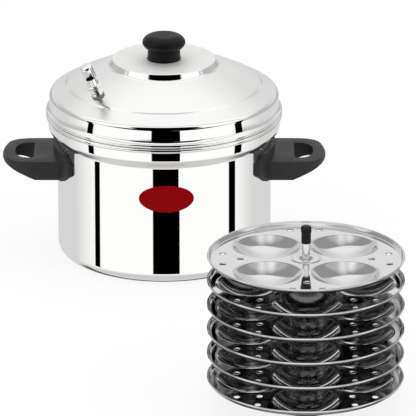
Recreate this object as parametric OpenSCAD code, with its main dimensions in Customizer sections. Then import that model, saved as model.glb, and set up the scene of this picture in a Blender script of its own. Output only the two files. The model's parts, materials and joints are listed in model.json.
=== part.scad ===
// Stovetop idli steamer: a spun steel pot with two moulded side handles, a domed
// lid with a knob and a steam whistle, and a stand of six four-cup idli plates
// threaded on a rod. Millimetres, +Z up. The origin is the centre of the pot's
// flat bottom. The handles lie along X, and the stand waits in front, towards -Y.

/* [Pot] */
// Outer radius of the straight wall
pot_r = 107; // [95:0.5:120]
// Thickness of the pot's sheet
pot_wall = 1.2; // [0.8:0.1:2]
// Radius where the wall turns into the bottom
corner_r = 12.5; // [6:0.5:20]
// Height of the straight wall
straight_h = 122; // [115:1:140]
// How far the collar stands out beyond the wall
collar_step = 9; // [6:0.5:12]
// Height over which the wall swells out to the collar
swell_h = 12; // [9:0.5:16]
// Height of the upright collar band
collar_h = 8; // [6:0.5:14]
// Radius of the rolled bead round the rim
bead_r = 2.3; // [1.8:0.1:3]

/* [Lid] */
// Thickness of the lid's sheet
lid_wall = 1; // [0.8:0.1:1.6]
// Gap between the lid's skirt and the inside of the collar
skirt_clear = 0.8; // [0.5:0.1:2]
// Depth of the skirt below the rim
skirt_h = 9; // [5:0.5:12]
// Height of the lid's upright wall above its bead
lid_band_h = 13; // [8:0.5:20]
// Radius of the rounded shoulder above that wall
shoulder_r = 6; // [4:0.5:8]
// Radius of the crease where the outer slope meets the dome
crease_r = 97; // [92:0.5:99]
// Rise from the crease to the foot of the raised centre
dome_rise = 17.6; // [14:0.2:22]
// Radius at the foot of the raised centre
plateau_r = 56; // [50:0.5:62]
// Height of the raised centre
plateau_h = 6.8; // [4:0.2:9]

/* [Knob] */
// Radius of the knob's neck
knob_neck_r = 16.3; // [13:0.1:19]
// Height of the knob's neck
knob_neck_h = 8; // [6:0.5:12]
// Widest radius of the knob's head
knob_head_r = 21.6; // [20:0.1:26]
// Height of the knob's head
knob_head_h = 17.5; // [15:0.5:22]
// Radius of the knob's screw
knob_screw_r = 1.75; // [1.5:0.25:2.5]

/* [Steam whistle] */
// Distance of the vent from the lid's centre line
vent_r = 87; // [80:0.5:90]
// Direction of the vent, in degrees from +X
vent_az = 222; // [180:1:270]
// Radius of the threaded stem through the lid
vent_thread_r = 4; // [3:0.25:4.5]
// Bore of the steam passage
vent_bore_r = 1.6; // [1:0.1:2]
// Radius of the vent's collar above the lid
vent_collar_r = 5.8; // [5.6:0.1:7]
// Height of the vent's collar
vent_collar_h = 9; // [5:0.5:12]
// Radius of the nozzle that the whistle sits on
nozzle_r = 3; // [2.5:0.1:3.4]
// Length of the nozzle inside the whistle
nozzle_h = 16; // [10:0.5:17]
// Outer radius of the whistle
whistle_r = 6.2; // [5.5:0.1:7]
// Length of the whistle
whistle_h = 27; // [24:0.5:30]
// Radius of the whistle's two bottom flanges
whistle_flange_r = 7.6; // [6.8:0.1:9]

/* [Side handles] */
// Distance of each handle's tip from the pot's centre
handle_tip = 162; // [155:1:175]
// Width of the grip
grip_w = 74; // [66:1:80]
// Thickness of the grip at its root
grip_t = 19; // [17:0.5:22]
// Thickness left at the tip
grip_tip_t = 5.5; // [4:0.5:8]
// Height of the grip's top face above the floor
grip_top = 105; // [103:0.5:107]
// Length of the grip's flat underside
grip_flat = 22; // [16:1:26]
// Width of the finger slot
slot_w = 45; // [38:1:48]
// Distance from the pot's wall to the finger slot
slot_in = 23.6; // [22:0.2:26]
// Width left between the finger slot and the tip
slot_out = 12.5; // [9:0.5:15]
// Width of the saddle plate that hugs the wall
saddle_w = 114; // [100:1:120]
// Height of the saddle plate above the grip's top face
saddle_up = 12; // [8:0.5:13]
// Thickness of the saddle plate
saddle_t = 4; // [3:0.5:6]
// Radius of the handle screw
handle_screw_r = 2; // [1.5:0.25:2.5]

/* [Idli plates] */
// Outer radius of a plate
plate_r = 92; // [88:0.5:96]
// Thickness of a plate's sheet
plate_t = 0.8; // [0.6:0.1:1.2]
// Distance from one plate to the next
plate_pitch = 24; // [22:0.5:26]
// Height of a plate's flared rim
rim_h = 4.5; // [3:0.5:6]
// How far the rim flares out
rim_flare = 3; // [2:0.5:4]
// Radius of a cup's mouth
cup_r = 32; // [28:0.5:33]
// Depth of a cup
cup_depth = 14; // [10:0.5:15]
// Distance of the cups from the rod
cup_ring_r = 50.5; // [49:0.5:53]
// Radius of a steam hole
steam_r = 3.1; // [2:0.1:3.6]
// Distance of the inner steam hole of each three from the rod
steam_in_r = 61; // [59:0.5:64]
// Distance of the outer two steam holes from the rod
steam_out_r = 78.5; // [75:0.5:80]
// Angle from the inner steam hole to each outer one
steam_spread = 10; // [7:0.5:12]
// Radius of the raised boss round the centre hole
boss_r = 12.5; // [11:0.5:14]
// Height of that boss
boss_h = 1.2; // [0.6:0.1:1.6]
// Radius of the centre hole
centre_r = 6; // [5.8:0.1:7]

/* [Plate stand] */
// Place of the stand to the right of the pot's centre
stand_x = 135; // [0:1:200]
// Place of the stand in front of the pot's centre
stand_y = -416; // [-500:1:-300]
// Height of the lowest plate above the floor
foot_h = 24; // [22:0.5:32]
// Radius of the foot
foot_r = 35; // [28:0.5:42]
// Thickness of the foot's sheet
foot_t = 1.5; // [1:0.1:2]
// Height of the foot's raised centre
foot_rise = 9.5; // [8.5:0.5:11]
// Radius of the rod
rod_r = 3.75; // [3:0.05:4.2]
// Radius of the rod's threaded lower end
rod_thread_r = 3; // [2:0.1:3.5]
// How far the cap's top stands above the top plate
cap_above = 33; // [28:0.5:40]
// Radius of the cap
cap_r = 5; // [4.7:0.05:5.2]
// Height of the cap
cap_h = 17; // [12:0.5:20]
// Inner radius of a spacer tube
spacer_in_r = 5.5; // [5.4:0.05:5.8]
// Thickness of a spacer tube's wall
spacer_wall = 2; // [1:0.1:3]

/* [Fits] */
// Gap between a loose piece and its seat
seat_gap = 0.3; // [0.2:0.05:0.4]
// Gap round a screw in its clearance hole
screw_gap = 0.2; // [0.1:0.05:0.4]
// Gap between the whistle and its nozzle
whistle_gap = 0.4; // [0.25:0.05:0.6]

/* [Hidden] */
$fn = 96;

// A cut reaches this far past the face it opens.
cut = 1;

// Pot heights and radii.
collar_r = pot_r + collar_step;
collar_z = straight_h + swell_h;
bead_z = collar_z + collar_h + bead_r;
rim_z = bead_z + bead_r;
collar_in_r = collar_r - pot_wall;

// Lid heights and radii.
skirt_r = collar_in_r - skirt_clear;
lid_bead_r = bead_r;
lid_bead_z = rim_z + seat_gap + lid_bead_r;
lid_band_r = collar_r - lid_wall - 0.2;
lid_flare_h = 3;
lid_band_z0 = lid_bead_z + lid_bead_r * 0.8;
lid_band_z1 = lid_band_z0 + lid_band_h;
shoulder_turn = 60;
shoulder_top_r = lid_band_r - shoulder_r * (1 - cos(shoulder_turn));
shoulder_top_z = lid_band_z1 + shoulder_r * sin(shoulder_turn);
crease_slope = 0.57;
crease_z = shoulder_top_z + (shoulder_top_r - crease_r) * crease_slope;
dome_slope = 0.34;
dome_bend = (dome_rise - dome_slope * (crease_r - plateau_r)) / pow(crease_r - plateau_r, 2);
plateau_z0 = crease_z + dome_rise;
plateau_top = plateau_z0 + plateau_h;
plateau_run = 5;
plateau_round = 3.5;

// The dome's height at distance r, between the raised centre's foot and the crease.
function dome_z(r) =
    plateau_z0 - dome_slope * (r - plateau_r) - dome_bend * pow(r - plateau_r, 2);
function dome_fall(r) = dome_slope + 2 * dome_bend * (r - plateau_r);
vent_tilt = atan(dome_fall(vent_r));

// Handle places.
grip_z0 = grip_top - grip_t;
grip_z = (grip_top + grip_z0) / 2;
wall_face = pot_r + seat_gap;
slot_x0 = pot_r + slot_in;
slot_x1 = handle_tip - slot_out;
bracket_t = 1.5;
bracket_w = 34;
bracket_h = 13;
stub_w = 13;
stub_h = 11;
stub_reach = 10;
stub_end = wall_face + bracket_t + stub_reach;
head_r = handle_screw_r * 2;
head_t = 2.4;
head_sink = 0.6;
pocket_gap = 0.5;

// Plate and stand heights. The set has six plates, each named in NODES.
plate_count = 6;
function plate_z(n) = foot_h + (n - 1) * plate_pitch;
plate_top_z = plate_z(plate_count);
cap_top_z = plate_top_z + cap_above;
cap_z0 = cap_top_z - cap_h;
cup_sphere_r = (cup_r * cup_r + cup_depth * cup_depth) / (2 * cup_depth);
spacer_out_r = spacer_in_r + spacer_wall;
rod_shoulder_z = foot_rise;
nut_h = 3.5;
nut_across = 3.4 * rod_thread_r;
foot_flat_w = 10;

// Points of an arc about (cx, cy) from angle a0 to a1, in n steps.
function arc(cx, cy, r, a0, a1, n = 8) =
    [for (i = [0:n]) let (a = a0 + (a1 - a0) * i / n) [cx + r * cos(a), cy + r * sin(a)]];

// The pot, spun from one disc: flat bottom, straight wall, swell, collar and rolled rim.
// The swell is an S of two arcs that bend the sheet out and then upright again.
swell_a = 2 * atan(collar_step / swell_h);
swell_r = swell_h / (2 * sin(swell_a));
function swell(inset) = concat(
    arc(pot_r - inset + swell_r, straight_h, swell_r, 180, 180 - swell_a, 6),
    arc(collar_r - inset - swell_r, collar_z, swell_r, -swell_a, 0, 6));
function reversed(list) = [for (i = [len(list) - 1:-1:0]) list[i]];

module vessel() {
    outer = concat(
        [[0, 0]],
        arc(pot_r - corner_r, corner_r, corner_r, -90, 0, 10),
        swell(0),
        arc(collar_r, bead_z, bead_r, -90, 90, 10));
    inner = concat(
        [[collar_in_r, rim_z]],
        reversed(swell(pot_wall)),
        arc(pot_r - corner_r, corner_r, corner_r - pot_wall, 0, -90, 10),
        [[0, pot_wall]]);
    color("silver") rotate_extrude() polygon(concat(outer, inner));
}

// The lid, pressed from one sheet: skirt, bead that rests on the rim, upright band,
// shoulder, creased dome and raised centre. t is how deep below the outer face.
function lid_face(t) = concat(
    [for (i = [0:6]) let (r = shoulder_top_r + (crease_r - shoulder_top_r) * i / 6)
        [r - t * 0.5, shoulder_top_z + (shoulder_top_r - r) * crease_slope - t * 0.87]],
    [for (i = [1:10]) let (r = crease_r + (plateau_r - crease_r) * i / 10)
        [r - t * 0.3, dome_z(r) - t * 0.95]],
    arc(plateau_r - plateau_run - plateau_round * 0.6, plateau_top - plateau_round,
        plateau_round - t * 0.9, 40, 90, 5));

module vent_place() {
    rotate([0, 0, vent_az]) translate([vent_r, 0, dome_z(vent_r)]) rotate([0, vent_tilt, 0])
        children();
}

module lid_shell() {
    outer = concat(
        [[skirt_r, rim_z - skirt_h], [skirt_r, lid_bead_z - lid_bead_r]],
        arc(collar_r, lid_bead_z, lid_bead_r, -90, 60, 9),
        [[lid_band_r + 0.6, lid_band_z0 + lid_flare_h * 0.5],
         [lid_band_r, lid_band_z0 + lid_flare_h]],
        arc(lid_band_r - shoulder_r, lid_band_z1, shoulder_r, 0, shoulder_turn, 6),
        lid_face(0),
        [[0, plateau_top]]);
    inner = concat(
        [[0, plateau_top - lid_wall]],
        reversed(lid_face(lid_wall)),
        arc(lid_band_r - shoulder_r, lid_band_z1, shoulder_r - lid_wall, shoulder_turn, 0, 6),
        [[lid_band_r - lid_wall, lid_band_z0 + lid_flare_h]],
        arc(collar_r, lid_bead_z, lid_bead_r - lid_wall, 60, -90, 9),
        [[skirt_r - lid_wall, lid_bead_z - lid_bead_r + lid_wall],
         [skirt_r - lid_wall, rim_z - skirt_h]]);
    color("silver") difference() {
        rotate_extrude() polygon(concat(outer, inner));
        translate([0, 0, plateau_top - lid_wall - cut])
            cylinder(r = knob_screw_r + screw_gap, h = lid_wall + 2 * cut);
        vent_place() translate([0, 0, -5 * lid_wall])
            cylinder(r = vent_thread_r + screw_gap, h = 10 * lid_wall);
    }
}

// The knob is one turned profile: base ring, neck, undercut, full head and flat crown.
knob_z = plateau_top;
knob_socket_h = 12;
module lid_knob() {
    base_ring_r = knob_neck_r + 2.2;
    base_ring_h = 0.9;
    head_z = knob_z + knob_neck_h;
    widest_z = head_z + knob_head_h * 0.4;
    profile = concat(
        [[0, knob_z], [base_ring_r, knob_z], [base_ring_r, knob_z + base_ring_h],
         [knob_neck_r, knob_z + base_ring_h], [knob_neck_r, head_z]],
        [for (i = [1:6]) let (a = 90 * i / 6)
            [knob_neck_r + (knob_head_r - knob_neck_r) * sin(a),
             head_z + (widest_z - head_z) * (1 - cos(a))]],
        [for (i = [1:8]) let (a = 90 * i / 8)
            [knob_head_r * 0.45 + knob_head_r * 0.55 * cos(a),
             widest_z + (knob_head_h * 0.6 - 0.6) * sin(a)]],
        [[0, head_z + knob_head_h]]);
    color("dimgray") difference() {
        rotate_extrude() polygon(profile);
        translate([0, 0, knob_z - cut])
            cylinder(r = knob_screw_r + screw_gap, h = knob_socket_h + cut);
    }
}

// Inside the lid the knob's screw pulls a washer up against the sheet.
washer_t = 1;
washer_r = 8;
module knob_washer() {
    z = plateau_top - lid_wall - washer_t;
    color("gainsboro") difference() {
        translate([0, 0, z]) cylinder(r = washer_r, h = washer_t);
        translate([0, 0, z - cut]) cylinder(r = knob_screw_r + screw_gap, h = washer_t + 2 * cut);
    }
}

module knob_screw() {
    z = plateau_top - lid_wall - washer_t;
    knob_head_t = 2.6;
    slot_d = 1.2;
    color("gainsboro") difference() {
        union() {
            translate([0, 0, z - knob_head_t]) cylinder(r = 2 * knob_screw_r, h = knob_head_t);
            translate([0, 0, z - cut])
                cylinder(r = knob_screw_r, h = knob_socket_h + lid_wall + washer_t);
        }
        translate([0, 0, z - knob_head_t])
            cube([5 * knob_screw_r, slot_d, 2 * slot_d], center = true);
    }
}

// The vent's stem passes through the lid. Its collar clamps a gasket on top, and its
// thinner nozzle carries the whistle.
gasket_t = 1.2;
collar_s0 = 2 * seat_gap + gasket_t;
collar_s1 = collar_s0 + vent_collar_h;
module vent_stem() {
    thread_below = 8;
    waist = 0.8;
    color("gainsboro") vent_place() difference() {
        union() {
            translate([0, 0, -thread_below]) cylinder(r = vent_thread_r, h = thread_below + collar_s0);
            rotate_extrude() polygon([
                [0, collar_s0], [vent_collar_r - waist, collar_s0],
                [vent_collar_r, collar_s0 + waist], [vent_collar_r, collar_s1 - 2.5 * waist],
                [vent_collar_r - waist, collar_s1 - 1.5 * waist], [vent_collar_r - waist, collar_s1],
                [0, collar_s1]]);
            translate([0, 0, collar_s1 - cut]) cylinder(r = nozzle_r, h = nozzle_h + cut);
        }
        translate([0, 0, -thread_below - cut])
            cylinder(r = vent_bore_r, h = thread_below + collar_s1 + nozzle_h + 2 * cut);
    }
}

module vent_gasket() {
    color("dimgray") vent_place() translate([0, 0, seat_gap]) difference() {
        cylinder(r = vent_collar_r + 0.6, h = gasket_t);
        translate([0, 0, -cut]) cylinder(r = vent_thread_r + screw_gap, h = gasket_t + 2 * cut);
    }
}

vent_nut_h = 4;
module vent_nut() {
    color("gainsboro") vent_place() translate([0, 0, -lid_wall - seat_gap - vent_nut_h])
        difference() {
            cylinder(r = vent_thread_r * 1.75, h = vent_nut_h, $fn = 6);
            translate([0, 0, -cut])
                cylinder(r = vent_thread_r + screw_gap / 2, h = vent_nut_h + 2 * cut);
        }
}

// The whistle is a loose weight: a blind tube with two flanges, a domed top and a
// half-moon window that lets the steam out of its bore, facing the front.
module whistle() {
    s0 = collar_s1 + seat_gap;
    flange_t = 1.3;
    groove_t = 1.2;
    crown_h = 2.6;
    window_r = 4;
    window_s = s0 + whistle_h * 0.5;
    bore_h = nozzle_h + 2;
    profile = concat(
        [[0, s0], [whistle_flange_r, s0], [whistle_flange_r, s0 + flange_t],
         [whistle_r, s0 + flange_t], [whistle_r, s0 + flange_t + groove_t],
         [whistle_flange_r, s0 + flange_t + groove_t],
         [whistle_flange_r, s0 + 2 * flange_t + groove_t],
         [whistle_r, s0 + 2 * flange_t + groove_t]],
        [for (i = [0:6]) let (a = 90 * i / 6)
            [whistle_r - crown_h + crown_h * cos(a), s0 + whistle_h - crown_h + crown_h * sin(a)]],
        [[0, s0 + whistle_h]]);
    color("gainsboro") vent_place() difference() {
        rotate_extrude() polygon(profile);
        translate([0, 0, s0 - cut]) cylinder(r = nozzle_r + whistle_gap, h = bore_h + cut);
        rotate([0, 0, 270 - vent_az]) intersection() {
            translate([0, 0, window_s]) rotate([0, 90, 0])
                cylinder(r = window_r, h = whistle_flange_r + cut);
            translate([0, -window_r, window_s - window_r * 0.25])
                cube([whistle_flange_r + cut, 2 * window_r, 2 * window_r]);
        }
    }
}

// A steel bracket on the pot's wall. Its stub enters the moulding and takes the screw.
module bracket() {
    color("gray") difference() {
        union() {
            intersection() {
                translate([wall_face - stub_w, -bracket_w / 2, grip_z - bracket_h / 2])
                    cube([stub_w * 2, bracket_w, bracket_h]);
                difference() {
                    translate([0, 0, grip_z0]) cylinder(r = wall_face + bracket_t, h = grip_t);
                    translate([0, 0, grip_z0 - cut])
                        cylinder(r = pot_r, h = grip_t + 2 * cut);
                }
            }
            translate([wall_face, -stub_w / 2, grip_z - stub_h / 2])
                cube([stub_end - wall_face, stub_w, stub_h]);
        }
        translate([wall_face + bracket_t, 0, grip_z]) rotate([0, 90, 0])
            cylinder(r = handle_screw_r + screw_gap / 2, h = stub_reach + cut);
    }
}

// Half the grip's width at a distance along it: full at the wall, rounded at the tip.
grip_square = 6;
function grip_half(u) = grip_w / 2 * sqrt(1 - pow(u, grip_square));

// The moulded handle: a grip with a D-shaped finger slot and a rising underside, and a
// saddle plate with cut corners that follows the pot's wall.
module side_handle() {
    length = handle_tip - pot_r;
    steps = 16;
    side = [for (i = [0:steps]) let (u = sin(90 * i / steps)) [pot_r + length * u, grip_half(u)]];
    plan = concat([[0, grip_w / 2]], side, [for (p = reversed(side)) [p[0], -p[1]]], [[0, -grip_w / 2]]);
    tip_round = 1.5;
    below = [[0, grip_z0], [pot_r + grip_flat, grip_z0],
             [handle_tip - 6, grip_top - grip_tip_t - 1.5], [handle_tip + cut, grip_top - grip_tip_t + 1],
             [handle_tip + cut, grip_top - 2 * tip_round], [handle_tip - 4 * tip_round, grip_top], [0, grip_top]];
    saddle_z1 = grip_top + saddle_up;
    cut_low = 11;
    cut_high = 8;
    half = saddle_w / 2;
    saddle_face = [[-half + 17, grip_z0], [half - 17, grip_z0], [half, grip_z0 + cut_low],
                   [half, saddle_z1 - cut_high], [half - 10, saddle_z1],
                   [-half + 10, saddle_z1], [-half, saddle_z1 - cut_high], [-half, grip_z0 + cut_low]];
    slot_side = [for (i = [0:8]) let (a = 90 * i / 8)
        [slot_x1 - (slot_x1 - slot_x0 - 4) * (1 - sin(a)), slot_w / 2 * pow(cos(a), 0.7)]];
    slot = concat([[slot_x0, slot_w / 2 - 1.5], [slot_x0 + 1.5, slot_w / 2]], slot_side,
                  [for (p = reversed(slot_side)) [p[0], -p[1]]],
                  [[slot_x0 + 1.5, -slot_w / 2], [slot_x0, -slot_w / 2 + 1.5]]);
    color("dimgray") difference() {
        union() {
            intersection() {
                linear_extrude(height = grip_top + cut) polygon(plan);
                translate([0, grip_w, 0]) rotate([90, 0, 0])
                    linear_extrude(height = 2 * grip_w) polygon(below);
            }
            intersection() {
                rotate([90, 0, 90]) linear_extrude(height = handle_tip) polygon(saddle_face);
                cylinder(r = wall_face + saddle_t, h = saddle_z1);
            }
        }
        cylinder(r = wall_face, h = 2 * saddle_z1);
        translate([0, 0, grip_z0 - cut]) linear_extrude(height = grip_t + 2 * cut) polygon(slot);
        translate([0, -stub_w / 2 - pocket_gap, grip_z - stub_h / 2 - pocket_gap])
            cube([stub_end + pocket_gap, stub_w + 2 * pocket_gap, stub_h + 2 * pocket_gap]);
        translate([0, -bracket_w / 2 - pocket_gap, grip_z - bracket_h / 2 - pocket_gap])
            cube([wall_face + bracket_t + pocket_gap, bracket_w + 2 * pocket_gap,
                  bracket_h + 2 * pocket_gap]);
        translate([stub_end, 0, grip_z]) rotate([0, 90, 0])
            cylinder(r = handle_screw_r + screw_gap, h = slot_x1 - stub_end);
        translate([slot_x0 - head_t - head_sink, 0, grip_z]) rotate([0, 90, 0])
            cylinder(r = head_r + screw_gap, h = slot_in);
    }
}

module handle_screw() {
    bite = 7;
    shank_x = stub_end - bite;
    head_x = slot_x0 - head_t - head_sink;
    cross_w = 1;
    color("gainsboro") difference() {
        union() {
            translate([shank_x, 0, grip_z]) rotate([0, 90, 0])
                cylinder(r = handle_screw_r, h = head_x - shank_x + cut);
            translate([head_x + screw_gap / 2, 0, grip_z]) rotate([0, 90, 0])
                cylinder(r = head_r, h = head_t - screw_gap / 2);
        }
        for (turn = [0, 90])
            translate([head_x + head_t, 0, grip_z]) rotate([turn, 0, 0])
                cube([head_t, head_r * 1.2, cross_w], center = true);
    }
}

// One idli plate: a flared rim, a raised boss round the rod, four round cups and a
// three-hole steam vent between each pair of cups.
module idli_plate(n, turn) {
    floor_r = plate_r - rim_flare;
    profile = [
        [centre_r, boss_h - plate_t], [boss_r, boss_h - plate_t], [boss_r + boss_h, -plate_t],
        [floor_r, -plate_t], [floor_r + rim_flare * 0.6, rim_h * 0.55 - plate_t / 2],
        [plate_r, rim_h - plate_t], [plate_r, rim_h],
        [plate_r - plate_t, rim_h], [floor_r + rim_flare * 0.35, rim_h * 0.5],
        [floor_r - 1, 0], [boss_r + 1.5 * boss_h, 0],
        [boss_r, boss_h], [centre_r, boss_h]];
    sphere_z = cup_sphere_r - cup_depth;
    color("lightgray") translate([stand_x, stand_y, plate_z(n)]) rotate([0, 0, turn]) difference() {
        union() {
            rotate_extrude() polygon(profile);
            for (k = [0:3]) rotate([0, 0, 90 * k]) translate([cup_ring_r, 0, 0]) intersection() {
                translate([0, 0, sphere_z]) sphere(r = cup_sphere_r + plate_t);
                translate([0, 0, -2 * cup_depth]) cylinder(r = 2 * cup_r, h = 2 * cup_depth);
            }
        }
        for (k = [0:3]) rotate([0, 0, 90 * k]) {
            translate([cup_ring_r, 0, sphere_z]) sphere(r = cup_sphere_r);
            rotate([0, 0, 45]) translate([steam_in_r, 0, -cup_depth])
                cylinder(r = steam_r, h = 2 * cup_depth);
            for (side = [-1, 1]) rotate([0, 0, 45 + side * steam_spread])
                translate([steam_out_r, 0, -cup_depth]) cylinder(r = steam_r, h = 2 * cup_depth);
        }
    }
}

// A spacer tube keeps each plate clear of the one below. The lowest stands on the foot.
module spacer(n) {
    z0 = (n == 1 ? foot_rise : plate_z(n - 1) + boss_h) + seat_gap;
    z1 = plate_z(n) + boss_h - plate_t - seat_gap;
    color("silver") translate([stand_x, stand_y, z0]) difference() {
        cylinder(r = spacer_out_r, h = z1 - z0);
        translate([0, 0, -cut]) cylinder(r = spacer_in_r, h = z1 - z0 + 2 * cut);
    }
}

// The foot is a pressed disc with a raised centre that hides the nut below the rod.
module stand_foot() {
    ledge_r = foot_r - foot_flat_w;
    crown_r = spacer_out_r + 5;
    color("silver") translate([stand_x, stand_y, 0]) rotate_extrude() polygon([
        [rod_thread_r + screw_gap, foot_rise - foot_t], [crown_r - 0.6 * foot_t, foot_rise - foot_t],
        [ledge_r - 0.6 * foot_t, 0], [foot_r, 0], [foot_r, foot_t],
        [ledge_r, foot_t], [crown_r, foot_rise], [rod_thread_r + screw_gap, foot_rise]]);
}

module stand_rod() {
    thread_end = 1.5;
    stub_r = rod_r * 0.7;
    cap_bite = cap_h * 0.7;
    color("silver") translate([stand_x, stand_y, 0]) {
        translate([0, 0, thread_end]) cylinder(r = rod_thread_r, h = rod_shoulder_z - thread_end + cut);
        translate([0, 0, rod_shoulder_z]) cylinder(r = rod_r, h = cap_z0 - rod_shoulder_z);
        translate([0, 0, cap_z0 - cut]) cylinder(r = stub_r, h = cap_bite + cut);
    }
}

module foot_nut() {
    color("gainsboro") translate([stand_x, stand_y, foot_rise - foot_t - nut_h]) difference() {
        cylinder(r = nut_across / 2 / cos(30), h = nut_h, $fn = 6);
        translate([0, 0, -cut]) cylinder(r = rod_thread_r + screw_gap / 2, h = nut_h + 2 * cut);
    }
}

// A moulded cap closes the rod: two grip grooves and a full head with a rounded crown.
module rod_cap() {
    groove = 0.5;
    neck_r = cap_r - 0.4;
    stub_r = rod_r * 0.7;
    head_z = cap_h * 0.62;
    crown = 2.2;
    color("dimgray") translate([stand_x, stand_y, cap_z0]) difference() {
        rotate_extrude() polygon(concat(
            [[0, 0], [neck_r, 0], [neck_r, 2.5], [neck_r - groove, 3], [neck_r - groove, 4],
             [neck_r, 4.5], [neck_r, 6], [neck_r - groove, 6.5], [neck_r - groove, 7.5],
             [neck_r, 8], [neck_r, head_z - 1], [cap_r, head_z + 1]],
            arc(cap_r - crown, cap_h - crown, crown, 0, 90, 6), [[0, cap_h]]));
        translate([0, 0, -cut])
            cylinder(r = stub_r + screw_gap, h = cap_h * 0.7 + 2 * cut);
    }
}

// The top plate is turned so that its cups lie between those of the plates below.
function plate_turn(n) = n == plate_count ? 45 : 0;

vessel();
mirror([1, 0, 0]) bracket();  // bracket_left
bracket();  // bracket_right
mirror([1, 0, 0]) side_handle();  // side_handle_left
side_handle();  // side_handle_right
mirror([1, 0, 0]) handle_screw();  // handle_screw_left
handle_screw();  // handle_screw_right
lid_shell();
lid_knob();
knob_screw();
knob_washer();
vent_stem();
vent_gasket();
vent_nut();
whistle();
stand_foot();
stand_rod();
rod_cap();
foot_nut();
for (n = [1:plate_count]) {
    spacer(n);
    idli_plate(n, plate_turn(n));
}
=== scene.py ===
import json
import math
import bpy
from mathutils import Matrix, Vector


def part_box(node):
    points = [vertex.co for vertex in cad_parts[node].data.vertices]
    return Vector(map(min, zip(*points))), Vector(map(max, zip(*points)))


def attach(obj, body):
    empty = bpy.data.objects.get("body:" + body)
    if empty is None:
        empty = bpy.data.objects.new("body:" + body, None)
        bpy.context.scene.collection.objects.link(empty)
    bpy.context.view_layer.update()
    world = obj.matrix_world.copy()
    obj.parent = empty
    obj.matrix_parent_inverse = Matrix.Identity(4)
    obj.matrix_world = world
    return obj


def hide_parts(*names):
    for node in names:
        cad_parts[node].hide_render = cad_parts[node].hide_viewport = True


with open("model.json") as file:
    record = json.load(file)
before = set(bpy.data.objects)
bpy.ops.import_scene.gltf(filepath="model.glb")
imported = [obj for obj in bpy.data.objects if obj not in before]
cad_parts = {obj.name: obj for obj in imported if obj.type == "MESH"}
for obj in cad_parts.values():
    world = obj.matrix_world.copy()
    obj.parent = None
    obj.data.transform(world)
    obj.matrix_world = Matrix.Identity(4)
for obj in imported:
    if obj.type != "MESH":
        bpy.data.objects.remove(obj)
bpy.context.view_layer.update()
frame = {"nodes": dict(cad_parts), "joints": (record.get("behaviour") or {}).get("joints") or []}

from types import SimpleNamespace

import bmesh
import bpy
from mathutils import Matrix, Vector
from mathutils.geometry import delaunay_2d_cdt

bl_info = {
    "name": "Idli steamer",
    "version": (1, 0, 0),
    "blender": (4, 5, 0),
    "location": "View3D > Sidebar > Steamer",
    "description": "A polished steel idli steamer with its stand of plates, dressed on its packed solids",
    "category": "Add Mesh",
}

# Shapes are worked out in mm, and meshes are in metres.
MM = 0.001
PLATES = 6
CUPS = 4


def box_mm(node):
    """The lower and upper corner of a CAD node's box, in mm."""
    low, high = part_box(node)
    return [v / MM for v in low], [v / MM for v in high]


# The driving places come from the frame, so the dressed pieces sit where the solids are.
VESSEL_LOW, VESSEL_HIGH = box_mm("vessel")
LID_LOW, LID_HIGH = box_mm("lid_shell")
KNOB_LOW, KNOB_HIGH = box_mm("lid_knob")
ROD_LOW, ROD_HIGH = box_mm("stand_rod")
CAP_LOW, CAP_HIGH = box_mm("rod_cap")
STAND_X = (ROD_LOW[0] + ROD_HIGH[0]) / 2
STAND_Y = (ROD_LOW[1] + ROD_HIGH[1]) / 2


def linear(srgb):
    """An sRGB hex colour as linear RGB."""
    parts = [int(srgb[i:i + 2], 16) / 255 for i in (0, 2, 4)]
    return [c / 12.92 if c <= 0.04045 else ((c + 0.055) / 1.055) ** 2.4 for c in parts]


def length(name, description, mm):
    """A length that a user may change, given in mm and kept in metres."""
    return bpy.props.FloatProperty(
        name=name, description=description, default=mm * MM, precision=4, subtype="DISTANCE", unit="LENGTH")


def colour(name, description, srgb):
    """A colour that a user may change, given as sRGB hex and kept as linear RGB."""
    return bpy.props.FloatVectorProperty(
        name=name, description=description, default=linear(srgb), min=0.0, max=1.0, subtype="COLOR")


class SteamerSizes(bpy.types.PropertyGroup):
    """Sizes of the dressed pieces"""
    wall_r: length("Wall radius", "Outside of the pot's wall", 107.0)
    sheet: length("Pot sheet", "Thickness of the pot's steel", 1.2)
    lid_sheet: length("Lid sheet", "Thickness of the lid's steel", 1.0)
    corner_r: length("Bottom corner", "Radius where the pot's wall meets its bottom", 12.5)
    bead_r: length("Rim bead", "Radius of the rolled beads", 2.3)
    plate_r: length("Plate radius", "Outside of an idli plate", 92.0)
    plate_sheet: length("Plate sheet", "Thickness of a plate's steel", 0.8)
    cup_r: length("Cup mouth", "Radius of a cup's mouth", 32.0)
    cup_depth: length("Cup depth", "Depth of a cup", 14.0)
    cup_ring: length("Cup ring", "Distance of the cups from the rod", 50.5)
    steam_r: length("Steam hole", "Radius of a steam hole", 3.1)
    badge_w: length("Badge width", "Width of the plain badge", 55.0)
    badge_h: length("Badge height", "Height of the plain badge", 28.0)
    badge_z: length("Badge place", "Height of the badge's middle over the pot's bottom", 91.0)
    badge_x: length("Badge aside", "How far the badge's middle is to the right of the front", 3.0)


class SteamerColours(bpy.types.PropertyGroup):
    """Colours of the finishes"""
    steel: colour("Steel", "Polished stainless steel of the pot and lid", "FDFDFC")
    plate: colour("Plate steel", "Bright pressed steel of the plates and rod", "E6E6E6")
    # The undersides' darker grey is painted shade between the stacked plates.
    under: colour("Undersides", "Unpolished steel under the plates", "8E8E8E")
    # The bore's near black is painted shade inside the whistle.
    soot: colour("Bore", "Inside of the whistle", "141414")
    phenolic: colour("Phenolic", "Knob", "131315")
    grip: colour("Grips", "Side handles", "323231")
    cap: colour("Cap", "Cap of the rod", "101010")
    badge: colour("Badge", "Plain badge", "900004")
    gasket: colour("Gasket", "Silicone gasket", "8F8F8A")
    zinc: colour("Zinc", "Plated screws and nuts", "B4B4B0")
    floor: colour("Floor", "Studio floor", "FAFAFA")


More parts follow.
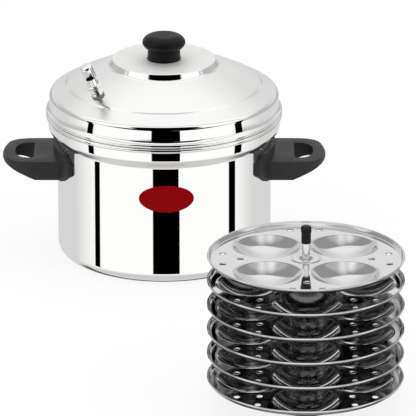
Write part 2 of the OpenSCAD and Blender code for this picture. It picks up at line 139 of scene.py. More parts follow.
def sizes():
    """The sizes in mm."""
    group = bpy.context.scene.steamer_sizes
    return SimpleNamespace(**{key: getattr(group, key) / MM for key in SteamerSizes.__annotations__})


def add_node(tree, kind, links=None, **settings):
    """Adds one node, sets its attributes and plain inputs, and links its other inputs. A node given
    for an input stands for its first output."""
    node = tree.nodes.new(kind)
    for key, value in settings.items():
        setattr(node, key, value)
    for socket, value in (links or {}).items():
        if isinstance(value, bpy.types.Node):
            value = value.outputs[0]
        if isinstance(value, bpy.types.NodeSocket):
            tree.links.new(value, node.inputs[socket])
        else:
            node.inputs[socket].default_value = value
    return node


def new_material(name):
    """A material with an empty node tree."""
    material = bpy.data.materials.new(name)
    material.use_nodes = True
    material.node_tree.nodes.clear()
    return material, material.node_tree


def finish_surface(tree, shader):
    """Puts a shader on the surface."""
    add_node(tree, "ShaderNodeOutputMaterial", {0: shader})


# Nearly all values of a noise pattern lie between these two.
NOISE_LOW = 0.3
NOISE_HIGH = 0.7


def mottled(tree, pattern, base, low, high):
    """A colour whose brightness goes from low to high times its own along a pattern of 0 to 1."""
    tint = add_node(tree, "ShaderNodeMapRange", {0: pattern, 1: 0.0, 2: 1.0, 3: low, 4: high})
    return add_node(tree, "ShaderNodeVectorMath", {0: base[:], "Scale": tint}, operation="SCALE")


def steel_material(name, base, rough, grain_mm, wave_mm, wave_depth_mm):
    """Stainless steel: a slow ripple left by pressing or spinning, and a fine haze in the polish."""
    material, tree = new_material(name)
    place = add_node(tree, "ShaderNodeTexCoord").outputs["Object"]
    haze = add_node(tree, "ShaderNodeTexNoise", {
        "Vector": place, "Scale": 1 / (grain_mm * MM), "Detail": 3.0}).outputs["Fac"]
    polish = add_node(tree, "ShaderNodeMapRange", {
        0: haze, 1: NOISE_LOW, 2: NOISE_HIGH, 3: rough[0], 4: rough[1]})
    ripple = add_node(tree, "ShaderNodeTexNoise", {
        "Vector": place, "Scale": 1 / (wave_mm * MM), "Detail": 1.0}).outputs["Fac"]
    bump = add_node(tree, "ShaderNodeBump", {
        "Height": ripple, "Strength": 0.5, "Distance": wave_depth_mm * MM})
    finish_surface(tree, add_node(tree, "ShaderNodeBsdfPrincipled", {
        "Base Color": mottled(tree, haze, base, 0.98, 1.02), "Metallic": 1.0, "Roughness": polish,
        "Normal": bump}))
    return material


def moulded_material(name, base, rough, grain_mm, grain_depth_mm, shine):
    """A moulded plastic or rubber: a slightly uneven gloss over the mould's fine grain."""
    material, tree = new_material(name)
    gloss_patch_mm = 50 / 3
    place = add_node(tree, "ShaderNodeTexCoord").outputs["Object"]
    patch = add_node(tree, "ShaderNodeTexNoise", {
        "Vector": place, "Scale": 1 / (gloss_patch_mm * MM), "Detail": 3.0}).outputs["Fac"]
    gloss = add_node(tree, "ShaderNodeMapRange", {
        0: patch, 1: NOISE_LOW, 2: NOISE_HIGH, 3: rough[0], 4: rough[1]})
    grain = add_node(tree, "ShaderNodeTexNoise", {
        "Vector": place, "Scale": 1 / (grain_mm * MM), "Detail": 2.0}).outputs["Fac"]
    bump = add_node(tree, "ShaderNodeBump", {
        "Height": grain, "Strength": 0.4, "Distance": grain_depth_mm * MM})
    finish_surface(tree, add_node(tree, "ShaderNodeBsdfPrincipled", {
        "Base Color": mottled(tree, patch, base, 0.9, 1.1), "Roughness": gloss, "Normal": bump,
        "Specular IOR Level": shine}))
    return material


# Each steel or plating: its name, its colour, its lowest and highest roughness, and in mm the size of
# the haze in its polish, the length of its ripples and their depth.
METALS = {
    # Mirror-polished stainless steel: sharp reflections with the straight edges of a spun wall.
    "mirror": ("mirror_polished_stainless_steel", "steel", (0.01, 0.035), 3, 60, 0.004),
    # The lid's dome is buffed by hand: bright, but it blurs what it shows.
    "buffed": ("buffed_stainless_steel", "steel", (0.29, 0.35), 3, 60, 0.006),
    # The raised centre is rubbed more coarsely: an even pale sheen with no picture in it.
    "satin": ("satin_stainless_steel", "steel", (0.66, 0.74), 3, 60, 0.006),
    # Bright pressed stainless steel: a clear reflection that wavers with the thin sheet.
    "plate": ("bright_pressed_stainless_steel", "plate", (0.05, 0.09), 2, 26, 0.02),
    # The undersides are duller than the tops, and their darker grey is painted shade, so little light gets
    # between the plates.
    "under": ("as_rolled_stainless_steel", "under", (0.13, 0.2), 2, 20, 0.05),
    # Drawn stainless tube and rod: a clear polish with a little haze.
    "rod": ("drawn_stainless_steel", "plate", (0.05, 0.1), 1.5, 12, 0.01),
    # Chromed brass: a hard mirror on turned parts.
    "chrome": ("chromed_brass", "steel", (0.03, 0.06), 1.5, 10, 0.005),
    # Zinc-plated steel: a dull bright plating on nuts and screws.
    "zinc": ("zinc_plated_steel", "zinc", (0.28, 0.4), 1, 4, 0.02),
}
# Each plastic, rubber or coat: its name, its colour, its lowest and highest roughness, the size and
# depth of its grain in mm, and how much it shines.
MOULDED = {
    # Phenolic moulding: near black with a soft semi-gloss, drawn with grain coarse enough to show.
    "phenolic": ("phenolic_moulding", "phenolic", (0.34, 0.46), 0.8, 0.02, 0.15),
    # The grips are the same moulding in a lighter grey.
    "grip": ("phenolic_grip", "grip", (0.36, 0.48), 0.8, 0.02, 0.15),
    # Moulded nylon: black with a satin shine on its flutes.
    "cap": ("moulded_nylon_cap", "cap", (0.3, 0.42), 0.6, 0.02, 0.25),
    # Silicone rubber: matte and pale.
    "gasket": ("silicone_rubber", "gasket", (0.6, 0.75), 0.8, 0.03, 0.5),
    # The whistle's bore is dark and matte: painted shade inside the bore.
    "soot": ("tarnished_brass_bore", "soot", (0.7, 0.85), 1.0, 0.02, 0.5),
    # Enamel on foil: smooth, deep red and softly glossy.
    "badge": ("enamelled_foil", "badge", (0.4, 0.5), 1.5, 0.003, 0.04),
}
MATERIALS = {}


def make_materials():
    """Every finish, named after what the real one is and how its surface was made."""
    colours = bpy.context.scene.steamer_colours
    for table, make in ((METALS, steel_material), (MOULDED, moulded_material)):
        for key, (name, base, *numbers) in table.items():
            MATERIALS[key] = make(name, getattr(colours, base), *numbers)


def arc(cx, cy, r, a0, a1, n):
    """Points of an arc in degrees, ends included."""
    steps = [math.radians(a0 + (a1 - a0) * i / n) for i in range(n + 1)]
    return [(cx + r * math.cos(a), cy + r * math.sin(a)) for a in steps]


def mesh_object(name, bm, sharp_deg=32):
    """A finished mesh at the origin, smooth except at sharp edges."""
    mesh = bpy.data.meshes.new(name)
    bm.to_mesh(mesh)
    bm.free()
    mesh.shade_smooth()
    mesh.set_sharp_from_angle(angle=math.radians(sharp_deg))
    obj = bpy.data.objects.new(name, mesh)
    bpy.context.collection.objects.link(obj)
    return obj


def dress(obj, body, nodes=(), finishes=()):
    """Gives a piece its finishes, its body and the solids it stands for."""
    for finish in finishes:
        obj.data.materials.append(MATERIALS[finish])
    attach(obj, body)
    if nodes:
        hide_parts(*nodes)
    return obj


def baked(obj, name, sharp_deg=None):
    """The evaluated mesh of an object as a plain piece, with its modifiers gone."""
    depsgraph = bpy.context.evaluated_depsgraph_get()
    mesh = bpy.data.meshes.new_from_object(obj.evaluated_get(depsgraph))
    if sharp_deg:
        mesh.shade_smooth()
        mesh.set_sharp_from_angle(angle=math.radians(sharp_deg))
    old = obj.data
    bpy.data.objects.remove(obj)
    if old.users == 0:
        bpy.data.meshes.remove(old)
    piece = bpy.data.objects.new(name, mesh)
    bpy.context.collection.objects.link(piece)
    return piece


def revolve(bm, profile, steps=160, at=(0.0, 0.0), closed=True, flute=None):
    """Spins (r, z) points in mm about the upright axis through at. A point on the axis is one vertex,
    and flute gives how far to cut into a point of the profile at an angle."""
    on_axis = 1e-6
    rings = []
    for r, z in profile:
        if r < on_axis:
            rings.append([bm.verts.new((at[0] * MM, at[1] * MM, z * MM))])
            continue
        ring = []
        for k in range(steps):
            a = 2 * math.pi * k / steps
            depth = flute(r, z, a) if flute else 0.0
            x, y = at[0] + (r - depth) * math.cos(a), at[1] + (r - depth) * math.sin(a)
            ring.append(bm.verts.new((x * MM, y * MM, z * MM)))
        rings.append(ring)
    pairs = list(zip(rings, rings[1:]))
    if closed and len(rings[0]) > 1 and len(rings[-1]) > 1:
        pairs.append((rings[-1], rings[0]))
    for low, high in pairs:
        for k in range(steps):
            j = (k + 1) % steps
            corners = []
            for ring, index in ((low, k), (low, j), (high, j), (high, k)):
                vert = ring[index] if len(ring) > 1 else ring[0]
                if vert not in corners:
                    corners.append(vert)
            if len(corners) > 2:
                bm.faces.new(corners)


def turned_piece(name, profile, at=(0.0, 0.0), steps=160, flute=None):
    """A piece that is one outline in mm spun about an upright axis."""
    bm = bmesh.new()
    revolve(bm, profile, steps, at, flute=flute)
    bmesh.ops.recalc_face_normals(bm, faces=bm.faces)
    return mesh_object(name, bm)


def merged_copy(node, name, bevel_mm, segments):
    """A copy of a CAD node with its loose triangles joined and its edges eased."""
    same_place, same_plane_deg, sharp_deg = 1e-6, 0.5, 30
    bm = bmesh.new()
    bm.from_mesh(frame["nodes"][node].data)
    bmesh.ops.remove_doubles(bm, verts=bm.verts, dist=same_place)
    bmesh.ops.dissolve_limit(bm, angle_limit=math.radians(same_plane_deg), verts=bm.verts, edges=bm.edges)
    edges = [e for e in bm.edges if len(e.link_faces) == 2 and e.calc_face_angle(0) > math.radians(sharp_deg)]
    bmesh.ops.bevel(bm, geom=edges, offset=bevel_mm * MM, offset_type="OFFSET", segments=segments,
                    profile=0.5, affect="EDGES", clamp_overlap=True)
    bmesh.ops.triangulate(bm, faces=[f for f in bm.faces if len(f.verts) > 4])
    return mesh_object(name, bm, sharp_deg)


def dress_copy(node, name, bevel_mm, body, slot, *finishes, segments=2):
    """Dresses a CAD node in its own shape, with its edges eased."""
    return dress(merged_copy(node, name, bevel_mm, segments), body, (node,), finishes)


def steamer_profile():
    """The pot's outline: flat bottom, corner, wall, swell to the collar and rolled rim."""
    s = sizes()
    wall, sheet, corner, bead = s.wall_r, s.sheet, s.corner_r, s.bead_r
    collar = VESSEL_HIGH[0] - bead
    rim = VESSEL_HIGH[2]
    # The swell is an S of two equal arcs between these heights.
    swell_0, swell_1 = 122.0, 134.0
    turn = 2 * math.degrees(math.atan((collar - wall) / (swell_1 - swell_0)))
    sweep = (swell_1 - swell_0) / (2 * math.sin(math.radians(turn)))
    bottom_r = 40.0

    def swell(inset):
        return (arc(wall - inset + sweep, swell_0, sweep, 180, 180 - turn, 14)
                + arc(collar - inset - sweep, swell_1, sweep, -turn, 0, 14))

    outer = ([(0, 0), (bottom_r, 0)] + arc(wall - corner, corner, corner, -90, 0, 24) + swell(0)
             + arc(collar, rim - bead, bead, -90, 90, 20))
    inner = ([(collar - sheet, rim)] + swell(sheet)[::-1]
             + arc(wall - corner, corner, corner - sheet, 0, -90, 20) + [(0, sheet)])
    return outer + inner


# Radii on the lid's face, in mm: its shoulder's top, the crease, and the step of its raised centre.
SHOULDER_TOP_R = LID_HIGH[0] - 6.5
CREASE_R = 97.0
STEP_FOOT_R = 56.0
STEP_TOP_R = 51.0
# The crease stays bright this far inwards and outwards, where the buff doesn't reach.
CREASE_IN = 1.1
CREASE_OUT = 1.4


def lid_face(low_z):
    """(r, z, tilt in degrees) up the lid's outer face from its shoulder's top, at height low_z."""
    slope, rise, fall = 0.57, 17.6, 0.34
    fold, fold_h = 1.2, 0.5
    slope_steps, dome_steps, hollow_steps, edge_steps = 8, 20, 8, 12
    crease_z = low_z + (SHOULDER_TOP_R - CREASE_R) * slope
    points = []
    for i in range(slope_steps + 1):
        share = i / slope_steps
        r = SHOULDER_TOP_R + (CREASE_R + fold - SHOULDER_TOP_R) * share
        z = low_z + (SHOULDER_TOP_R - r) * slope - fold_h * share
        points.append((r, z, math.degrees(math.atan(slope))))
    # The crease is a shallow rounded step in the slope.
    points.append((CREASE_R + fold * 0.35, crease_z - fold_h * 0.8, 36.0))
    points.append((CREASE_R - fold * 0.1, crease_z - fold_h * 0.1, 42.0))
    # The dome grows steeper outwards from the foot of the step.
    dome_0, dome_1, width = CREASE_R - fold * 0.6, STEP_FOOT_R + 0.1, CREASE_R - STEP_FOOT_R
    bend = (rise - fall * width) / width ** 2
    for i in range(dome_steps + 1):
        r = dome_0 + (dome_1 - dome_0) * i / dome_steps
        out = r - STEP_FOOT_R
        tilt = math.degrees(math.atan(fall + 2 * bend * out))
        points.append((r, crease_z + rise - fall * out - bend * out ** 2, tilt))
    # The step of the raised centre: a hollow, a steep flat and a rounded edge.
    crown, edge_r, hollow_r = LID_HIGH[2], 1.2, 4.0
    foot, steep = math.atan(fall), math.radians(64.0)
    for i in range(1, hollow_steps + 1):
        a = foot + (steep - foot) * i / hollow_steps
        points.append((STEP_FOOT_R - hollow_r * (math.sin(a) - math.sin(foot)),
                       crease_z + rise + hollow_r * (math.cos(foot) - math.cos(a)), math.degrees(a)))
    hollow_end_r, hollow_end_z, _ = points[-1]
    edge_z = crown - edge_r * (1 - math.cos(steep))
    middle = hollow_end_r - (edge_z - hollow_end_z) / math.tan(steep) - edge_r * math.sin(steep)
    for i in range(edge_steps + 1):
        a = steep * (1 - i / edge_steps)
        points.append((middle + edge_r * math.sin(a), crown - edge_r * (1 - math.cos(a)), math.degrees(a)))
    return points


def lid_profile():
    """The lid's outline: skirt, bead, upright band, shoulder, creased dome and raised centre."""
    s = sizes()
    sheet, bead = s.lid_sheet, s.bead_r
    seat_gap, skirt_gap, band_gap, band_h = 0.3, 0.8, 0.2, 13.0
    collar = LID_HIGH[0] - bead
    bead_z = VESSEL_HIGH[2] + seat_gap + bead
    skirt = collar - s.sheet - skirt_gap
    band = collar - sheet - band_gap
    band_0 = bead_z + bead * 0.8
    band_1 = band_0 + band_h
    turn, shoulder = 60.0, 6.0
    crown, flat_r = LID_HIGH[2], 30.0
    face = lid_face(band_1 + shoulder * math.sin(math.radians(turn)))
    # How far out and up from the band's foot it leaves the bead.
    fillet = ((0.6, 1.5), (0.15, 2.4), (0.0, 3.0))

    outer = ([(skirt, LID_LOW[2]), (skirt, bead_z - bead)] + arc(collar, bead_z, bead, -90, 60, 18)
             + [(band + out, band_0 + up) for out, up in fillet]
             + arc(band - shoulder, band_1, shoulder, 0, turn, 16)[:-1]
             + [(r, z) for r, z, _ in face] + [(flat_r, crown), (0, crown)])
    inner = ([(0, crown - sheet), (flat_r, crown - sheet)]
             + [(r - sheet * math.sin(math.radians(tilt)), z - sheet * math.cos(math.radians(tilt)))
                for r, z, tilt in face[::-1]]
             + arc(band - shoulder, band_1, shoulder - sheet, turn, 0, 12)[1:]
             + [(band - sheet, band_0 + fillet[-1][1])] + arc(collar, bead_z, bead - sheet, 60, -90, 12)
             + [(skirt - sheet, bead_z - bead + sheet), (skirt - sheet, LID_LOW[2])])
    return outer + inner


def knob_profile():
    """The knob's outline: base ring, neck, full head and flat crown."""
    low, high, head = KNOB_LOW[2], KNOB_HIGH[2], KNOB_HIGH[0]
    neck, neck_h, crown_h = 16.3, 10.5, 0.6
    head_z = low + neck_h
    widest = head_z + (high - head_z) * 0.4
    flat_r = head * 0.5
    # How far out and up the base ring stands from the neck's foot.
    ring = ((0.6, 0.0), (0.8, 0.3), (0.6, 0.9), (0.1, 1.2), (0.0, 1.6), (0.0, neck_h - 0.6))
    points = [(0, low)] + [(neck + out, low + up) for out, up in ring]
    for degrees in range(0, 91, 6):
        # The underside of the head is halfway between an arc and a straight cone.
        a, share = math.radians(degrees), degrees / 90
        points.append((neck + (head - neck) * (math.sin(a) + share) / 2,
                       head_z + (widest - head_z) * (1 - math.cos(a) + share) / 2))
    for degrees in range(6, 91, 6):
        a = math.radians(degrees)
        points.append((flat_r + (head - flat_r) * math.cos(a),
                       widest + (high - crown_h - widest) * math.sin(a)))
    return points + [(0, high)]


# The plates: how far the rim's top is over the floor and how many sides it has, and for each steam
# hole its distance from the rod and its turn from the middle of the gap between two cups.
RIM_H = 4.5
RIM_STEPS = 160
STEAM_SPOTS = ((61.0, 0), (78.5, -10), (78.5, 10))


def about_rod(r, degrees):
    """(x, y) at a distance and a turn about the rod."""
    return r * math.cos(math.radians(degrees)), r * math.sin(math.radians(degrees))


def steam_spots(turn_deg):
    """(x, y) of a plate's steam holes, three in each gap between its cups."""
    gaps = [turn_deg + 360 / CUPS * (k + 0.5) for k in range(CUPS)]
    return [about_rod(r, gap + aside) for gap in gaps for r, aside in STEAM_SPOTS]


def cup_rings():
    """(r, z) from a cup's lip down to its middle: a rounded lip, then one sphere."""
    s = sizes()
    lip, lip_steps, bowl_steps = 5.0, 8, 24
    ball = (s.cup_r ** 2 + s.cup_depth ** 2) / (2 * s.cup_depth)
    slope = math.asin(s.cup_r / ball)
    start = s.cup_r + lip * math.tan(slope / 2)
    rings = []
    for i in range(lip_steps + 1):
        a = slope * i / lip_steps
        rings.append((start - lip * math.sin(a), -lip * (1 - math.cos(a))))
    lip_end = math.asin(rings[-1][0] / ball)
    for i in range(1, bowl_steps + 1):
        a = lip_end * (1 - i / bowl_steps)
        rings.append((ball * math.sin(a), ball - s.cup_depth - ball * math.cos(a)))
    return rings


def plate_mesh(name, floor_z, turn_deg):
    """A plate pressed from one sheet: flat floor, four cups, boss, rim and steam holes."""
    s = sizes()
    cup_steps, boss_steps, steam_steps, sharp_deg = 72, 48, 18, 40
    rim_bend, boss_r, boss_h, bore_r = 2.0, 12.5, 1.2, 6.0
    flat_r, boss_foot_r = s.plate_r - 4.5, boss_r + 2.0
    rings = cup_rings()
    cups = [about_rod(s.cup_ring, turn_deg + 360 / CUPS * k) for k in range(CUPS)]

    # The floor is cut from one disc, with an opening for the boss, each cup and each steam hole.
    holes = [(0.0, 0.0, boss_foot_r, boss_steps)]
    holes += [(x, y, rings[0][0], cup_steps) for x, y in cups]
    holes += [(x, y, s.steam_r, steam_steps) for x, y in steam_spots(turn_deg)]
    points, edges = [], []
    for cx, cy, r, n in [(0.0, 0.0, flat_r, RIM_STEPS)] + holes:
        first = len(points)
        for k in range(n):
            a = 2 * math.pi * k / n
            points.append(Vector((cx + r * math.cos(a), cy + r * math.sin(a))))
            edges.append((first + k, first + (k + 1) % n))
    flat_points, _, triangles, *_ = delaunay_2d_cdt(points, edges, [], 0, 1e-7)
    bm = bmesh.new()
    verts = [bm.verts.new((p.x * MM, p.y * MM, 0)) for p in flat_points]
    for corners in triangles:
        mx = sum(flat_points[i].x for i in corners) / len(corners)
        my = sum(flat_points[i].y for i in corners) / len(corners)
        if all(math.hypot(mx - cx, my - cy) >= r for cx, cy, r, _ in holes):
            bm.faces.new([verts[i] for i in corners])

    rim = arc(flat_r, rim_bend, rim_bend, -90, -40, 6)
    rim += [(s.plate_r - inset, z) for inset, z in ((1.4, 2.6), (0.7, 4.0), (0.4, RIM_H - 0.2))]
    boss = [(boss_foot_r, 0), (boss_r + 1.4, 0.25), (boss_r + 0.6, 0.95), (boss_r, boss_h),
            (bore_r + 0.4, boss_h), (bore_r, boss_h - 0.3)]
    revolve(bm, rim, RIM_STEPS, closed=False)
    revolve(bm, boss, boss_steps, closed=False)
    for middle in cups:
        revolve(bm, rings, cup_steps, middle, closed=False)
    bmesh.ops.remove_doubles(bm, verts=bm.verts, dist=1e-6)
    bmesh.ops.delete(bm, geom=[v for v in bm.verts if not v.link_faces], context="VERTS")
    bmesh.ops.recalc_face_normals(bm, faces=bm.faces)
    if sum(f.normal.z * f.calc_area() for f in bm.faces) < 0:
        bmesh.ops.reverse_faces(bm, faces=bm.faces)
    place = Matrix.Translation((STAND_X * MM, STAND_Y * MM, floor_z * MM))
    bmesh.ops.transform(bm, matrix=place, verts=bm.verts)

    obj = mesh_object(name, bm, sharp_deg)
    # The underside takes the darker steel: painted shade between the plates.
    for finish in ("plate", "under"):
        obj.data.materials.append(MATERIALS[finish])
    solid = obj.modifiers.new("sheet", "SOLIDIFY")
    solid.thickness = s.plate_sheet * MM
    solid.offset = -1
    solid.material_offset = 1
    return baked(obj, name, sharp_deg)


def ring_tree(name):
    """Geometry Nodes: a wire ring on each point, for rolled rims and the burrs of holes."""
    tree = bpy.data.node_groups.new(name, "GeometryNodeTree")
    tree.interface.new_socket("Geometry", in_out="INPUT", socket_type="NodeSocketGeometry")
    for label in ("Ring radius", "Wire radius"):
        tree.interface.new_socket(label, in_out="INPUT", socket_type="NodeSocketFloat")
    for label in ("Ring steps", "Wire steps"):
        tree.interface.new_socket(label, in_out="INPUT", socket_type="NodeSocketInt")
    tree.interface.new_socket("Finish", in_out="INPUT", socket_type="NodeSocketMaterial")
    tree.interface.new_socket("Geometry", in_out="OUTPUT", socket_type="NodeSocketGeometry")
    source = add_node(tree, "NodeGroupInput").outputs
    ring = add_node(tree, "GeometryNodeCurvePrimitiveCircle", {
        "Resolution": source["Ring steps"], "Radius": source["Ring radius"]})
    wire = add_node(tree, "GeometryNodeCurvePrimitiveCircle", {
        "Resolution": source["Wire steps"], "Radius": source["Wire radius"]})
    tube = add_node(tree, "GeometryNodeCurveToMesh", {"Curve": ring, "Profile Curve": wire})
    rings = add_node(tree, "GeometryNodeInstanceOnPoints", {"Points": source["Geometry"], "Instance": tube})
    real = add_node(tree, "GeometryNodeRealizeInstances", {0: rings})
    smooth = add_node(tree, "GeometryNodeSetShadeSmooth", {"Geometry": real})
    painted = add_node(tree, "GeometryNodeSetMaterial", {"Geometry": smooth, "Material": source["Finish"]})
    add_node(tree, "NodeGroupOutput", {0: painted})
    return tree


def rings_on(name, points_mm, ring_mm, wire_mm, ring_steps, wire_steps):
    """One piece of drawn steel with a wire ring at each point, made by the ring tree."""
    mesh = bpy.data.meshes.new(name)
    mesh.from_pydata([[v * MM for v in p] for p in points_mm], [], [])
    obj = bpy.data.objects.new(name, mesh)
    bpy.context.collection.objects.link(obj)
    tree = bpy.data.node_groups.get("wire_rings") or ring_tree("wire_rings")
    modifier = obj.modifiers.new("rings", "NODES")
    modifier.node_group = tree
    values = {"Ring radius": ring_mm * MM, "Wire radius": wire_mm * MM, "Ring steps": ring_steps,
              "Wire steps": wire_steps, "Finish": MATERIALS["rod"]}
    for item in tree.interface.items_tree:
        if item.in_out == "INPUT" and item.name in values:
            modifier[item.identifier] = values[item.name]
    return baked(obj, name)


class STEAMER_OT_pot(bpy.types.Operator):
    """Make the spun steel pot"""
    bl_idname = "steamer.pot"
    bl_label = "Pot"

    def execute(self, context):
        shell = turned_piece("pot_shell", steamer_profile(), steps=256)
        dress(shell, "pot", ("vessel",), ("mirror",))
        return {"FINISHED"}


class STEAMER_OT_lid(bpy.types.Operator):
    """Make the domed lid and its moulded knob"""
    bl_idname = "steamer.lid"
    bl_label = "Lid and knob"

    def execute(self, context):
        dome = turned_piece("lid_dome", lid_profile(), steps=256)
        dress(dome, "lid", ("lid_shell",), ("mirror", "buffed", "satin"))
        for face in dome.data.polygons:
            r = math.hypot(face.center.x, face.center.y) / MM
            creased = CREASE_R - CREASE_IN < r < CREASE_R + CREASE_OUT
            if r < STEP_TOP_R:
                face.material_index = 2
            elif STEP_FOOT_R < r < SHOULDER_TOP_R and not creased:
                face.material_index = 1
        dress(turned_piece("knob", knob_profile(), steps=96), "lid", ("lid_knob",), ("phenolic",))
        for node in ("knob_screw", "knob_washer"):
            dress_copy(node, node + "_dressed", 0.15, "lid", "zinc_fastener", "zinc")
        return {"FINISHED"}


class STEAMER_OT_whistle(bpy.types.Operator):
    """Make the vent's stem, nut and gasket and the loose whistle"""
    bl_idname = "steamer.whistle"
    bl_label = "Steam whistle"

    def execute(self, context):
        bore_r, roof, hidden = 5.6 * MM, 4 * MM, 3 * MM
        weight = dress_copy("whistle", "whistle_weight", 0.25, "whistle", "chromed_brass", "chrome", "soot",
                            segments=3)
        stem = dress_copy("vent_stem", "stem", 0.2, "lid", "chromed_brass", "chrome", "soot")
        dress_copy("vent_nut", "nut", 0.25, "lid", "zinc_fastener", "zinc")
        dress_copy("vent_gasket", "gasket", 0.2, "lid", "gasket_rubber", "gasket")

        # Painted shade: the whistle's bore and the part of the stem that is up inside it are dark.
        axis = Vector(next(j["axis"] for j in frame["joints"] if j["name"] == "whistle_lift"))
        low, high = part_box("vent_gasket")
        middle = (low + high) / 2
        heights = [(v.co - middle).dot(axis) for v in weight.data.vertices]
        for face in weight.data.polygons:
            along = (face.center - middle).dot(axis)
            across = (face.center - middle - axis * along).length
            if across < bore_r and along < max(heights) - roof:
                face.material_index = 1
        for face in stem.data.polygons:
            if (face.center - middle).dot(axis) > min(heights) + hidden:
                face.material_index = 1
        return {"FINISHED"}


class STEAMER_OT_handles(bpy.types.Operator):
    """Make the two moulded side handles with their brackets and screws"""
    bl_idname = "steamer.handles"
    bl_label = "Side handles"

    def execute(self, context):
        for side in ("left", "right"):
            dress_copy("side_handle_" + side, "handle_" + side, 0.9, "pot", "phenolic", "grip", segments=3)
            for node in ("bracket_" + side, "handle_screw_" + side):
                dress_copy(node, node + "_dressed", 0.15, "pot", "zinc_fastener", "zinc")
        return {"FINISHED"}


class STEAMER_OT_badge(bpy.types.Operator):
    """Make the plain oval badge on the pot's front"""
    bl_idname = "steamer.badge"
    bl_label = "Badge"

    def execute(self, context):
        s = sizes()
        steps, rings, lift, ridge = 96, 8, 0.25, 0.08
        line_from, line_to, line_edge = 0.86, 0.9, 0.003
        bm = bmesh.new()

        def on_wall(share, k, depth):
            """A corner at a share of the way from the middle to the rim, at a depth over the wall."""
            a = 2 * math.pi * k / steps
            turn = (s.badge_x + s.badge_w / 2 * share * math.cos(a)) / s.wall_r
            z = s.badge_z + s.badge_h / 2 * share * math.sin(a)
            r = s.wall_r + depth
            return bm.verts.new((r * math.sin(turn) * MM, -r * math.cos(turn) * MM, z * MM))

        # A flat middle, a fine raised line, and an edge that comes down to the wall.
        levels = [(line_from * i / rings, lift) for i in range(1, rings + 1)]
        levels += [(line_from + line_edge, lift + ridge), (line_to - line_edge, lift + ridge),
                   (line_to, lift), (0.985, lift), (1.0, lift * 0.6), (1.0, 0.02)]
        middle = on_wall(0.0, 0, lift)
        inner = [on_wall(levels[0][0], k, levels[0][1]) for k in range(steps)]
        for k in range(steps):
            bm.faces.new((middle, inner[k], inner[(k + 1) % steps]))
        for share, depth in levels[1:]:
            outer = [on_wall(share, k, depth) for k in range(steps)]
            for k in range(steps):
                j = (k + 1) % steps
                bm.faces.new((inner[k], outer[k], outer[j], inner[j]))
            inner = outer
        bm.faces.new(inner[::-1])
        bmesh.ops.recalc_face_normals(bm, faces=bm.faces)
        dress(mesh_object("badge", bm), "pot", (), ("badge",))
        return {"FINISHED"}


class STEAMER_OT_stand(bpy.types.Operator):
    """Make the stand's foot, rod, cap and nut"""
    bl_idname = "steamer.stand"
    bl_label = "Plate stand"

    def execute(self, context):
        at = (STAND_X, STAND_Y)
        low, high = box_mm("stand_foot")
        foot_r, rise, sheet, bore, edge = (high[0] - low[0]) / 2, high[2], 1.5, 3.2, 0.75
        foot = ([(bore, rise - sheet), (11.4, rise - sheet)] + arc(22.5, 0.9, 0.9, 200, 270, 5)
                + [(foot_r - 0.7, 0)] + arc(foot_r - edge, edge, edge, -90, 90, 8)
                + [(25.0, sheet), (13.2, rise - 0.3), (12.2, rise), (bore, rise)])
        dress(turned_piece("foot", foot, at, 96), "stand", ("stand_foot",), ("rod",))
        dress_copy("stand_rod", "rod", 0.2, "stand", "rod_steel", "rod")
        dress_copy("foot_nut", "foot_nut_dressed", 0.2, "stand", "zinc_fastener", "zinc")

        # The cap: a fluted grip under a smooth domed head, with a socket for the rod.
        low, high = CAP_LOW[2], CAP_HIGH[2]
        head = CAP_HIGH[0] - STAND_X
        neck, socket, socket_h, crown = head - 0.5, 2.9, 11.5, 2.4
        head_z, flutes, flute_depth, end = low + 10.0, 12, 0.5, 0.4

        def flute(r, z, a):
            outside = low + end < z < head_z - end and r > socket + end
            return flute_depth * (0.5 - 0.5 * math.cos(flutes * a)) ** 2 if outside else 0.0

        cap = ([(0, low + socket_h), (socket, low + socket_h), (socket, low)]
               + [(neck - 0.2, low), (neck, low + 0.3)]
               + [(neck, low + 0.8 + (head_z - low - 1.6) * i / 6) for i in range(7)]
               + [(neck, head_z), (head - 0.15, head_z + 0.7), (head, head_z + 1.4)]
               + arc(head - crown, high - crown, crown, 0, 90, 10) + [(0, high)])
        piece = turned_piece("cap", cap, at, 144, flute)
        dress(piece, "stand", ("rod_cap",), ("cap",))
        return {"FINISHED"}


class STEAMER_OT_plates(bpy.types.Operator):
    """Make the six idli plates, their rolled rims, hole burrs and spacer tubes"""
    bl_idname = "steamer.plates"
    bl_label = "Idli plates"

    def execute(self, context):
        s = sizes()
        rim_wire, burr_wire, top_turn = 0.95, 0.25, 45
        for n in range(1, PLATES + 1):
            node, body = "idli_plate_%d" % n, "plate_%d" % n
            rim_z = box_mm(node)[1][2]
            floor_z = rim_z - RIM_H
            turn = top_turn if n == PLATES else 0
            dress(plate_mesh(body, floor_z, turn), body, (node,))
            rim = rings_on("plate_rim_%d" % n, [(STAND_X, STAND_Y, rim_z - rim_wire)],
                           s.plate_r - rim_wire, rim_wire, RIM_STEPS, 10)
            dress(rim, body)
            spots = [(STAND_X + x, STAND_Y + y, floor_z + 0.05) for x, y in steam_spots(turn)]
            burrs = rings_on("steam_burrs_%d" % n, spots, s.steam_r + 0.1, burr_wire, 24, 6)
            dress(burrs, body)
            dress_copy("spacer_%d" % n, "tube_%d" % n, 0.25, "seat_%d" % n, "rod_steel", "rod")
        return {"FINISHED"}


# The camera: a long lens, as seen from the front. Lengths are in mm, and the aim is where it looks.
CAMERA_TILT = 20.0
CAMERA_AIM = (44.0, 0.0, 43.0)
CAMERA_AWAY = 5352.0
SENSOR = 36.0
# The picture's width and the lens's focal length in pixels of a picture that wide.
FRAME_PIXELS = 416
FOCAL_PIXELS = 5306.0
